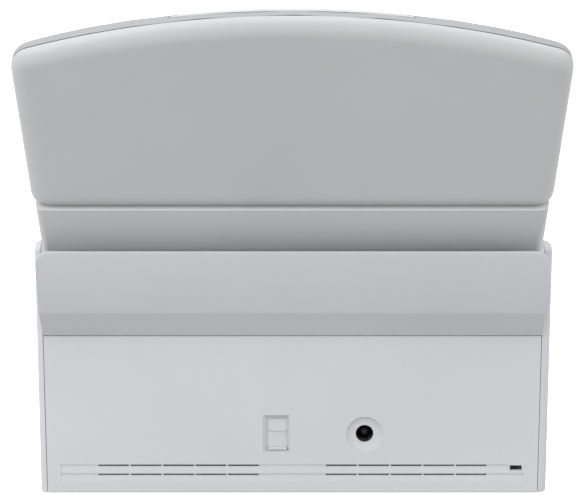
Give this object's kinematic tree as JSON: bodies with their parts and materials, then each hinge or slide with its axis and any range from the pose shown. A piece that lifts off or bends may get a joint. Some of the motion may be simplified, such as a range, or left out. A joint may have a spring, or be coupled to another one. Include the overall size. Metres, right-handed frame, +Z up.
{
  "type": "document scanner",
  "caption": "Desktop sheet-fed document scanner with its paper chute lid open, opening front feed cover, sheet guides, driven rollers and a pull-out stacker.",
  "frame": {"origin": "middle of the bounding box, on the desk under the feet", "axes": "+X to the left side seen from behind (the scanner's own left when facing its front is -X), +Y to the rear, +Z up"},
  "size_m": [0.292, 0.2336, 0.2793],
  "materials": {
    "shell_grey": "fine matt, light grey",
    "lid_grey": "fine matt, mid grey",
    "dark_plastic": "matt black",
    "port_grey": "satin light grey",
    "sheet_steel": "zinc plated sheet",
    "ground_steel": "ground rod",
    "roller_rubber": "matt rubber",
    "foot_rubber": "matt rubber",
    "scan_glass": "clear",
    "touch_glass": "gloss black",
    "circuit_board": "solder mask green",
    "belt_rubber": "matt",
    "white_acetal": "satin white"
  },
  "bodies": {
    "base": {"base_pan": "sheet_steel", "rubber_foot_front_left": "foot_rubber", "rubber_foot_front_right": "foot_rubber", "rubber_foot_rear_left": "foot_rubber", "rubber_foot_rear_right": "foot_rubber", "rear_cover": "shell_grey", "rear_top_cover": "shell_grey", "side_cover_left": "shell_grey", "side_cover_right": "shell_grey", "usb_port_block": "port_grey", "dc_inlet": "dark_plastic", "dc_inlet_pin": "ground_steel", "lock_slot_plate": "sheet_steel", "main_board": "circuit_board", "board_bracket": "sheet_steel", "side_frame_left": "sheet_steel", "side_frame_right": "sheet_steel", "cross_beam": "sheet_steel", "lid_hinge_pin": "ground_steel", "chute_plate": "lid_grey", "rear_guide_plate": "dark_plastic", "rear_scan_glass": "scan_glass", "rear_scan_unit": "dark_plastic", "exit_guide": "dark_plastic", "drive_motor": "sheet_steel", "drive_belt": "belt_rubber", "front_cover_pin": "ground_steel", "guide_pinion_axle": "ground_steel", "stacker_rail_left": "sheet_steel", "stacker_rail_right": "sheet_steel"},
    "lid": {"lid_outer_shell": "lid_grey", "lid_inner_shell": "lid_grey"},
    "lid_extension": {"chute_extension": "shell_grey"},
    "front_cover": {"front_cover_shell": "dark_plastic", "touch_panel_glass": "touch_glass", "display_module": "sheet_steel", "front_guide_plate": "dark_plastic", "front_scan_glass": "scan_glass", "front_scan_unit": "dark_plastic"},
    "brake_roller": {"brake_roller": "roller_rubber"},
    "feed_idler": {"feed_idler": "white_acetal"},
    "eject_idler": {"eject_idler": "white_acetal"},
    "pick_roller": {"pick_roller_shaft": "ground_steel", "pick_roller_tyres": "roller_rubber", "pick_roller_pulley": "white_acetal"},
    "feed_roller": {"feed_roller_shaft": "ground_steel", "feed_roller_tyres": "roller_rubber", "feed_roller_pulley": "white_acetal"},
    "eject_roller": {"eject_roller_shaft": "ground_steel", "eject_roller_tyres": "roller_rubber", "eject_roller_pulley": "white_acetal"},
    "motor_rotor": {"motor_pulley": "ground_steel"},
    "left_guide": {"side_guide_left": "lid_grey"},
    "right_guide": {"side_guide_right": "lid_grey"},
    "guide_pinion": {"guide_pinion": "white_acetal"},
    "stacker": {"stacker_tray": "lid_grey"},
    "stacker_extension": {"stacker_extension": "shell_grey"},
    "stacker_stopper": {"stacker_stopper": "lid_grey"}
  },
  "joints": [
    {"name": "lid_hinge", "type": "hinge", "parent": "base", "child": "lid", "pos_m": [0.00075, 0.01944, 0.143], "axis": [1, 0, 0], "range_deg": [0, 162.5]},
    {"name": "lid_extension_slide", "type": "slide", "parent": "lid", "child": "lid_extension", "axis": [0, -0.5701, -0.8215], "range_m": [-0.07, 0]},
    {"name": "front_cover_hinge", "type": "hinge", "parent": "base", "child": "front_cover", "pos_m": [0.00075, -0.09956, 0.037], "axis": [-1, 0, 0], "range_deg": [-60, 0]},
    {"name": "brake_roller_spin", "type": "hinge", "parent": "front_cover", "child": "brake_roller", "pos_m": [0.00075, -0.02821, 0.08965], "axis": [1, 0, 0], "continuous": true},
    {"name": "feed_idler_spin", "type": "hinge", "parent": "front_cover", "child": "feed_idler", "pos_m": [0.00075, -0.03617, 0.07643], "axis": [1, 0, 0], "continuous": true},
    {"name": "eject_idler_spin", "type": "hinge", "parent": "front_cover", "child": "eject_idler", "pos_m": [0.00075, -0.05441, 0.05014], "axis": [1, 0, 0], "continuous": true},
    {"name": "pick_roller_spin", "type": "hinge", "parent": "base", "child": "pick_roller", "pos_m": [0.00075, -0.0149, 0.08041], "axis": [1, 0, 0], "continuous": true},
    {"name": "feed_roller_spin", "type": "hinge", "parent": "base", "child": "feed_roller", "pos_m": [0.00075, -0.02772, 0.06983], "axis": [1, 0, 0], "continuous": true},
    {"name": "eject_roller_spin", "type": "hinge", "parent": "base", "child": "eject_roller", "pos_m": [0.00075, -0.04596, 0.04354], "axis": [1, 0, 0], "continuous": true},
    {"name": "motor_spin", "type": "hinge", "parent": "base", "child": "motor_rotor", "pos_m": [0.00075, -0.00456, 0.045], "axis": [1, 0, 0], "continuous": true},
    {"name": "left_guide_slide", "type": "slide", "parent": "base", "child": "left_guide", "axis": [-1, 0, 0], "range_m": [0, 0.055]},
    {"name": "right_guide_slide", "type": "slide", "parent": "base", "child": "right_guide", "axis": [1, 0, 0], "range_m": [0, 0.055]},
    {"name": "guide_pinion_spin", "type": "hinge", "parent": "base", "child": "guide_pinion", "pos_m": [0.00075, -0.00501, 0.10641], "axis": [0, 0.8215, -0.5701], "range_deg": [-540, 10]},
    {"name": "stacker_slide", "type": "slide", "parent": "base", "child": "stacker", "axis": [0, 1, 0], "range_m": [-0.085, 0]},
    {"name": "stacker_extension_slide", "type": "slide", "parent": "stacker", "child": "stacker_extension", "axis": [0, 1, 0], "range_m": [-0.07, 0]},
    {"name": "stacker_stopper_hinge", "type": "hinge", "parent": "stacker_extension", "child": "stacker_stopper", "pos_m": [0.00075, -0.11516, 0.016], "axis": [1, 0, 0], "range_deg": [-155, 0]}
  ],
  "couplings": [
    {"joint": "feed_roller_spin", "follows": "pick_roller_spin", "ratio": 1.3333},
    {"joint": "eject_roller_spin", "follows": "pick_roller_spin", "ratio": 1.3333},
    {"joint": "motor_spin", "follows": "pick_roller_spin", "ratio": 1.6},
    {"joint": "right_guide_slide", "follows": "left_guide_slide", "ratio": 1},
    {"joint": "guide_pinion_spin", "follows": "left_guide_slide", "rad_per_m": -166.67}
  ]
}
